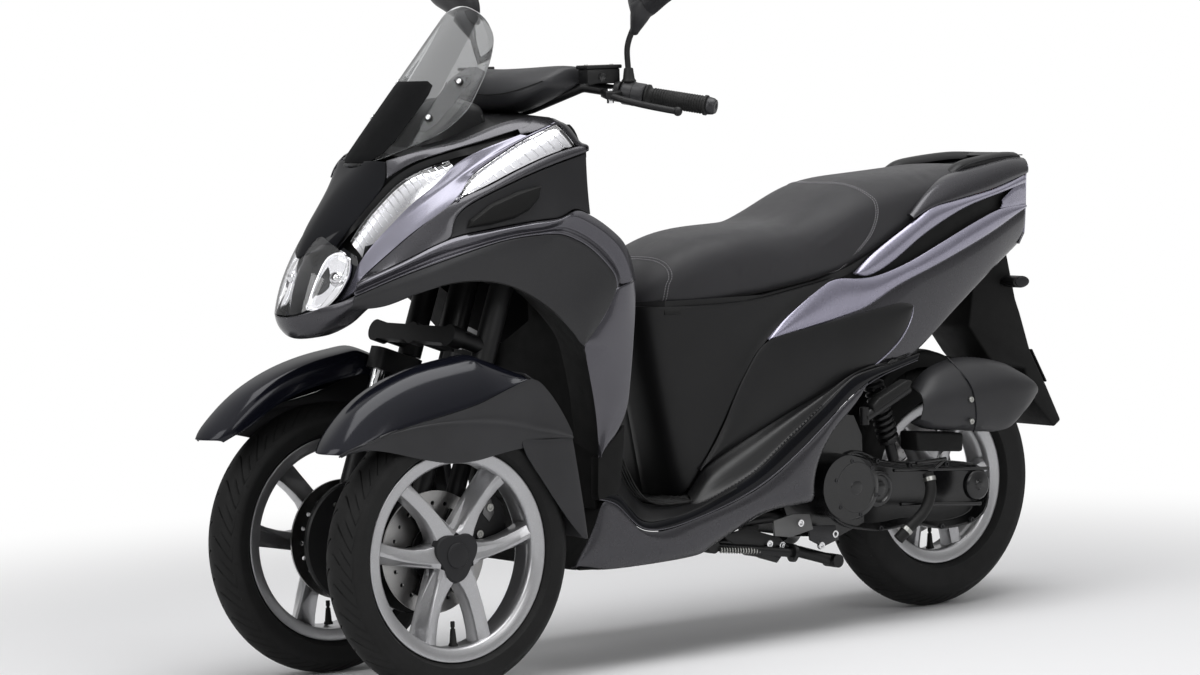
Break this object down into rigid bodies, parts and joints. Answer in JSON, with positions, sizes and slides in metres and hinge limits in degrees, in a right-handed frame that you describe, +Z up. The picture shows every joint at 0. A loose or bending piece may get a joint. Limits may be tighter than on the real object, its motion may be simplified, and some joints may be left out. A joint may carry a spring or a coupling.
{
  "type": "leaning three-wheeled scooter",
  "caption": "Scooter with a pair of steered front wheels on a leaning linkage and one driven rear wheel, with a smoked screen, stepped seat and step-through floor.",
  "frame": {"origin": "on the ground under the middle of the vehicle's length and width", "axes": "+X forward, +Y to the rider's left, +Z up"},
  "size_m": [1.905, 0.786, 1.283],
  "materials": {
    "tyre": "matte rubber with moulded tread",
    "wheel_silver": "satin silver paint on cast alloy",
    "disc_steel": "brushed",
    "fork_steel": "satin",
    "black_casting": "satin black paint",
    "frame_black": "satin black paint",
    "gloss_navy": "deep gloss with metallic flake",
    "gloss_black": "high gloss",
    "gunmetal": "metallic clear coat",
    "skirt_grey": "satin metallic",
    "dark_plastic": "fine grained moulding",
    "grip_rubber": "ribbed",
    "clear_lens": "clear moulded lens",
    "red_lens": "red moulded lens",
    "smoke_screen": "smoked clear sheet",
    "seat_vinyl": "grained vinyl with double stitching",
    "engine_alloy": "dark painted casting",
    "muffler_black": "heat resistant satin black"
  },
  "bodies": {
    "chassis": {"side_posts": "black_casting", "link_arms": "black_casting", "nose_panel": "gloss_black", "front_lamps": "clear_lens", "turn_signals": "clear_lens", "cowl_side_panels": "dark_plastic", "front_cowl": "gunmetal", "leg_shield": "dark_plastic", "arch_panels": "gunmetal", "windscreen": "smoke_screen", "meter_hood": "dark_plastic", "head_frame": "frame_black", "frame_rails": "frame_black", "footboard": "dark_plastic", "side_skirts": "skirt_grey", "storage_bin": "dark_plastic", "centre_cover": "dark_plastic", "side_covers": "gloss_black", "tail_cover": "gunmetal", "tail_lamp": "red_lens", "grab_rail": "dark_plastic", "rear_fender": "dark_plastic", "engine_block": "engine_alloy", "transmission_case": "black_casting", "rear_arm": "frame_black", "air_cleaner": "dark_plastic", "muffler": "muffler_black", "rear_shocks": "frame_black"},
    "steering": {"steering_stem": "fork_steel", "handlebar": "fork_steel", "handlebar_cover": "dark_plastic", "hand_controls": "grip_rubber", "mirrors": "dark_plastic"},
    "left_knuckle": {"fork_yoke_left": "fork_steel", "fork_lower_left": "black_casting", "caliper_left": "black_casting", "fender_left": "gloss_navy"},
    "right_knuckle": {"fork_yoke_right": "fork_steel", "fork_lower_right": "black_casting", "caliper_right": "black_casting", "fender_right": "gloss_navy"},
    "front_wheel_left": {"front_tyre_left": "tyre", "front_rim_left": "wheel_silver", "front_disc_left": "disc_steel"},
    "front_wheel_right": {"front_tyre_right": "tyre", "front_rim_right": "wheel_silver", "front_disc_right": "disc_steel"},
    "rear_wheel": {"rear_tyre": "tyre", "rear_rim": "wheel_silver", "rear_disc": "disc_steel"},
    "tie_rod": {"tie_rod": "fork_steel"},
    "seat": {"seat_base": "dark_plastic", "seat_cushion": "seat_vinyl"},
    "side_stand": {"side_stand": "frame_black"},
    "centre_stand": {"centre_stand": "frame_black"},
    "pillion_peg_left": {"pillion_peg_left": "black_casting"},
    "pillion_peg_right": {"pillion_peg_right": "black_casting"}
  },
  "joints": [
    {"name": "steering_turn", "type": "hinge", "parent": "chassis", "child": "steering", "pos_m": [0.43768, 0, 0.84572], "axis": [-0.342, 0, 0.9397], "range_deg": [-32, 32]},
    {"name": "left_knuckle_turn", "type": "hinge", "parent": "chassis", "child": "left_knuckle", "pos_m": [0.50609, 0.115, 0.65778], "axis": [-0.342, 0, 0.9397], "range_deg": [-32, 32]},
    {"name": "right_knuckle_turn", "type": "hinge", "parent": "chassis", "child": "right_knuckle", "pos_m": [0.50609, -0.115, 0.65778], "axis": [-0.342, 0, 0.9397], "range_deg": [-32, 32]},
    {"name": "tie_rod_swing", "type": "hinge", "parent": "left_knuckle", "child": "tie_rod", "pos_m": [0.48623, 0.115, 0.49306], "axis": [-0.342, 0, 0.9397], "range_deg": [-32, 32]},
    {"name": "front_wheel_left_spin", "type": "hinge", "parent": "left_knuckle", "child": "front_wheel_left", "pos_m": [0.6775, 0.1925, 0.25], "axis": [0, 1, 0], "continuous": true},
    {"name": "front_wheel_right_spin", "type": "hinge", "parent": "right_knuckle", "child": "front_wheel_right", "pos_m": [0.6775, -0.1925, 0.25], "axis": [0, 1, 0], "continuous": true},
    {"name": "rear_wheel_spin", "type": "hinge", "parent": "chassis", "child": "rear_wheel", "pos_m": [-0.6325, 0, 0.2515], "axis": [0, 1, 0], "continuous": true},
    {"name": "seat_hinge", "type": "hinge", "parent": "chassis", "child": "seat", "pos_m": [0.163, 0, 0.652], "axis": [0, 1, 0], "range_deg": [0, 55]},
    {"name": "side_stand_swing", "type": "hinge", "parent": "chassis", "child": "side_stand", "pos_m": [0.04, 0.14, 0.196], "axis": [0, -1, 0], "range_deg": [0, 90]},
    {"name": "centre_stand_swing", "type": "hinge", "parent": "chassis", "child": "centre_stand", "pos_m": [-0.118, 0, 0.186], "axis": [0, -1, 0], "range_deg": [0, 75]},
    {"name": "pillion_peg_left_fold", "type": "hinge", "parent": "chassis", "child": "pillion_peg_left", "pos_m": [-0.318, 0.177, 0.412], "axis": [0, 0, -1], "range_deg": [0, 80]},
    {"name": "pillion_peg_right_fold", "type": "hinge", "parent": "chassis", "child": "pillion_peg_right", "pos_m": [-0.318, -0.177, 0.412], "axis": [0, 0, 1], "range_deg": [0, 80]}
  ],
  "couplings": [
    {"joint": "left_knuckle_turn", "follows": "steering_turn", "ratio": 1},
    {"joint": "right_knuckle_turn", "follows": "steering_turn", "ratio": 1},
    {"joint": "tie_rod_swing", "follows": "steering_turn", "ratio": -1}
  ]
}
